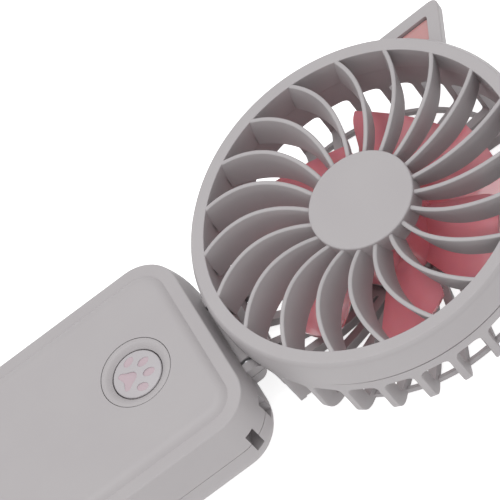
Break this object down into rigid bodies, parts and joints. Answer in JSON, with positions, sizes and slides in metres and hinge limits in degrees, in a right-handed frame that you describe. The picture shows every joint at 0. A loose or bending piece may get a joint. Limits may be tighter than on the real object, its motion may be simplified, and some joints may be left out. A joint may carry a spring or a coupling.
{
  "type": "handheld folding fan",
  "caption": "Battery hand fan with a slab handle, a push button and a round finned head with two ear shapes that tilts on a hinge.",
  "frame": {"origin": "middle of the rectangle that the fan covers, on the surface that its back lies on", "axes": "+X along the hinge pin, +Y from the handle to the fan head, +Z out of the front of the fan"},
  "size_m": [0.092, 0.1952, 0.0295],
  "materials": {
    "shell": "fine satin moulded ABS, warm light grey",
    "button": "satin moulded ABS, light grey with faint pink pads",
    "impeller": "glossy moulded polypropylene, rose pink",
    "ear_inlay": "glossy moulded ABS, pale rose pink",
    "black_plastic": "moulded nylon, black",
    "board": "solder mask over glass fibre board, green",
    "steel": "bright zinc or nickel plated steel",
    "copper": "bare copper segments",
    "bronze": "sintered oil-filled bronze",
    "magnet": "ground ferrite, dark grey",
    "cell": "shrink sleeve over a steel can, blue"
  },
  "bodies": {
    "handle": {"front_cover": "shell", "rear_cover": "shell", "cover_screw_1": "steel", "cover_screw_2": "steel", "cover_screw_3": "steel", "cover_screw_4": "steel", "button_bezel": "shell", "circuit_board": "board", "board_screw_1": "steel", "board_screw_2": "steel", "tact_switch": "black_plastic", "charging_socket": "steel", "battery_cell_left": "cell", "battery_cell_right": "cell", "cell_strap_far": "steel", "cell_strap_near": "steel", "hinge_pin": "steel", "hinge_washer_left": "steel", "hinge_washer_right": "steel"},
    "button": {"power_button": "button", "switch_plunger": "black_plastic"},
    "fan_head": {"front_grille": "shell", "ear_inlay_left": "ear_inlay", "ear_inlay_right": "ear_inlay", "rear_housing": "shell", "motor_screw_1": "steel", "motor_screw_2": "steel", "motor_can": "steel", "motor_end_cap": "black_plastic", "magnet_left": "magnet", "magnet_right": "magnet", "front_bush": "bronze", "rear_bush": "bronze"},
    "rotor": {"motor_shaft": "steel", "armature_core": "steel", "commutator": "copper", "impeller": "impeller"}
  },
  "joints": [
    {"name": "head_tilt", "type": "hinge", "parent": "handle", "child": "fan_head", "pos_m": [0, 0.0056, 0.0127], "axis": [1, 0, 0], "range_deg": [-45, 10]},
    {"name": "impeller_spin", "type": "hinge", "parent": "fan_head", "child": "rotor", "pos_m": [0, 0.0516, 0.012], "axis": [0, 0, 1], "continuous": true},
    {"name": "button_press", "type": "slide", "parent": "handle", "child": "button", "axis": [0, 0, -1], "range_m": [0, 0.0005], "stiffness_N_per_m": 1500}
  ]
}
